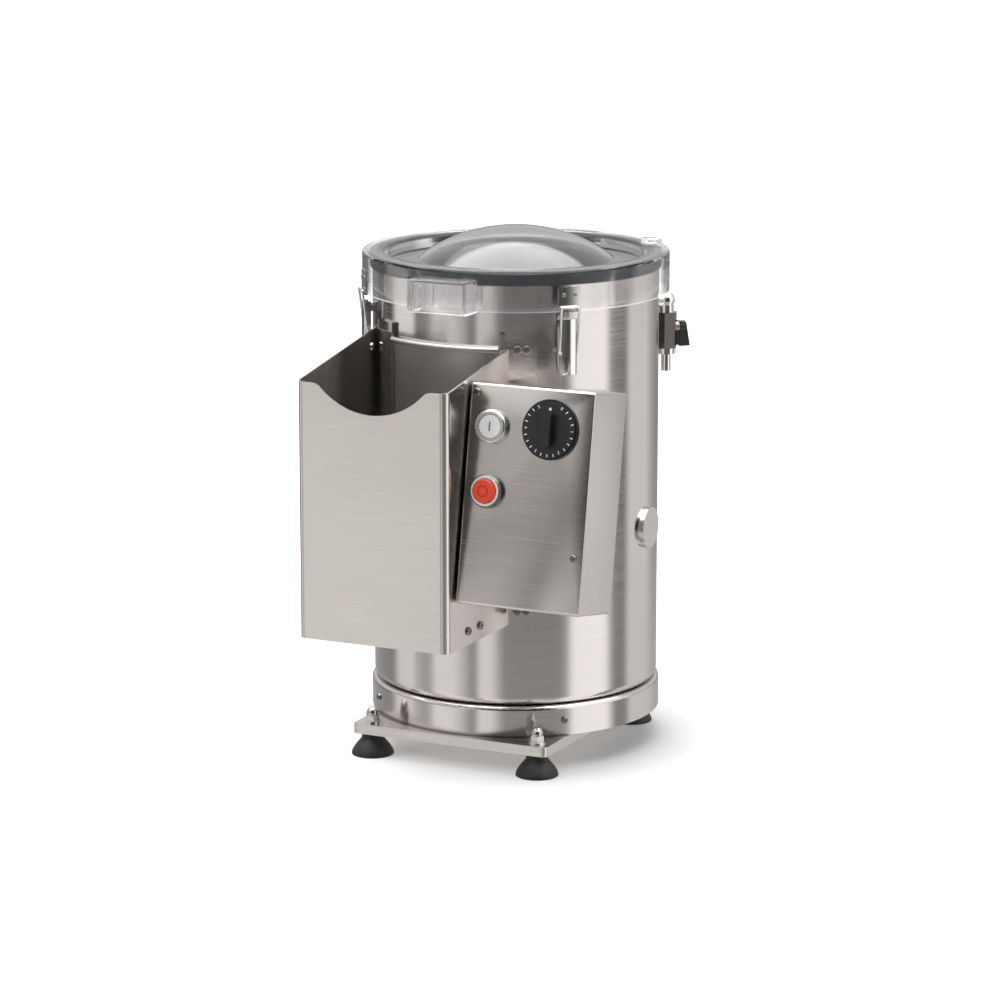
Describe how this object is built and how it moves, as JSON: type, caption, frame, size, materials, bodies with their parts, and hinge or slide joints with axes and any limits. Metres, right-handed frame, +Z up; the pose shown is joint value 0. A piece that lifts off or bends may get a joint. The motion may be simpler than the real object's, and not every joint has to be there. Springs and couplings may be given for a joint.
{
  "type": "garlic peeling machine",
  "caption": "Bench-top garlic peeling machine: brushed steel drum on rubber feet, clear domed hinged lid with toggle latches, discharge chute with lift door and tilted control box",
  "frame": {"origin": "on the bench below the drum's axis", "axes": "+Z runs up the drum's axis, -Y is the front with the chute, +X is the right-hand side as seen from the front"},
  "size_m": [0.345, 0.455, 0.527],
  "materials": {
    "brushed_steel": "brushed stainless sheet",
    "bright_metal": "bright plated metal",
    "dark_metal": "dull dark metal",
    "cast_metal": "cast, lightly machined",
    "black_rubber": "moulded rubber",
    "grey_rubber": "soft seal",
    "black_plastic": "moulded, satin",
    "grey_plastic": "moulded, satin",
    "white_plastic": "moulded, gloss",
    "red_plastic": "moulded, gloss",
    "clear_plastic": "clear polycarbonate with a smoke tint",
    "grey_paint": "enamel on cast iron"
  },
  "bodies": {
    "machine": {"base_plate": "brushed_steel", "rubber_feet": "black_rubber", "foot_studs": "bright_metal", "foot_washers": "bright_metal", "cap_nuts": "bright_metal", "base_ring": "brushed_steel", "base_ring_screws": "dark_metal", "drum_shell": "brushed_steel", "chamber_floor": "brushed_steel", "drain_spout": "brushed_steel", "side_plug": "brushed_steel", "cable_gland": "black_plastic", "chute": "brushed_steel", "chute_screws": "dark_metal", "door_guides": "bright_metal", "control_box": "brushed_steel", "control_bracket": "brushed_steel", "panel_screws": "dark_metal", "start_bezel": "bright_metal", "stop_bezel": "dark_metal", "button_bodies": "black_plastic", "timer_body": "dark_metal", "hinge_bracket": "bright_metal", "hinge_pin": "bright_metal", "latch_bases": "bright_metal", "inlet_elbow": "bright_metal", "valve_body": "bright_metal", "hose_tail": "bright_metal", "bearings": "bright_metal", "bearing_housing": "cast_metal", "shaft_seal": "black_rubber", "drive_belt": "black_rubber", "motor": "grey_paint", "motor_plate": "brushed_steel", "run_capacitor": "grey_plastic"},
    "lid": {"lid": "clear_plastic", "lid_seal": "grey_rubber", "latch_keepers": "bright_metal", "lid_hinge_leaf": "bright_metal"},
    "right_lever": {"lever_right": "bright_metal"},
    "left_lever": {"lever_left": "bright_metal"},
    "right_bail": {"bail_right": "bright_metal"},
    "left_bail": {"bail_left": "bright_metal"},
    "door": {"discharge_door": "brushed_steel"},
    "start": {"start_cap": "white_plastic"},
    "stop": {"stop_cap": "red_plastic"},
    "dial": {"timer_dial": "black_plastic", "timer_shaft": "bright_metal"},
    "disc": {"peeling_disc": "cast_metal", "disc_knob": "black_plastic", "main_shaft": "bright_metal", "large_pulley": "cast_metal"},
    "rotor": {"motor_pulley": "cast_metal", "motor_shaft": "bright_metal"},
    "valve": {"valve_lever": "black_plastic", "valve_ball": "bright_metal"}
  },
  "joints": [
    {"name": "lid_hinge", "type": "hinge", "parent": "machine", "child": "lid", "pos_m": [0, 0.168, 0.47], "axis": [-1, 0, 0], "range_deg": [0, 100]},
    {"name": "latch_right", "type": "hinge", "parent": "machine", "child": "right_lever", "pos_m": [0.10889, -0.10889, 0.452], "axis": [-0.7071, -0.7071, 0], "range_deg": [0, 110]},
    {"name": "latch_left", "type": "hinge", "parent": "machine", "child": "left_lever", "pos_m": [-0.11971, -0.09688, 0.452], "axis": [-0.6291, 0.7773, 0], "range_deg": [0, 110]},
    {"name": "bail_right_turn", "type": "hinge", "parent": "right_lever", "child": "right_bail", "pos_m": [0.10925, -0.10925, 0.422], "axis": [-0.7071, -0.7071, 0], "range_deg": [-110, 0]},
    {"name": "bail_left_turn", "type": "hinge", "parent": "left_lever", "child": "left_bail", "pos_m": [-0.1201, -0.09719, 0.422], "axis": [-0.6291, 0.7773, 0], "range_deg": [-110, 0]},
    {"name": "door_slide", "type": "slide", "parent": "machine", "child": "door", "axis": [0, 0, 1], "range_m": [0, 0.03]},
    {"name": "start_press", "type": "slide", "parent": "machine", "child": "start", "axis": [0, 0.9848, -0.1736], "range_m": [0, 0.0035], "stiffness_N_per_m": 600},
    {"name": "stop_press", "type": "slide", "parent": "machine", "child": "stop", "axis": [0, 0.9848, -0.1736], "range_m": [0, 0.0035], "stiffness_N_per_m": 600},
    {"name": "timer_turn", "type": "hinge", "parent": "machine", "child": "dial", "pos_m": [0.1465, -0.22777, 0.36959], "axis": [0, 0.9848, -0.1736], "range_deg": [0, 300]},
    {"name": "disc_spin", "type": "hinge", "parent": "machine", "child": "disc", "pos_m": [0, 0, 0.3], "axis": [0, 0, 1], "continuous": true},
    {"name": "motor_spin", "type": "hinge", "parent": "machine", "child": "rotor", "pos_m": [0, 0.08, 0.127], "axis": [0, 0, 1], "continuous": true},
    {"name": "valve_turn", "type": "hinge", "parent": "machine", "child": "valve", "pos_m": [0.11597, 0.11597, 0.41409], "axis": [0.7071, 0.7071, 0], "range_deg": [0, 90]}
  ],
  "couplings": [
    {"joint": "bail_right_turn", "follows": "latch_right", "ratio": -1},
    {"joint": "bail_left_turn", "follows": "latch_left", "ratio": -1},
    {"joint": "motor_spin", "follows": "disc_spin", "ratio": 4.684}
  ]
}
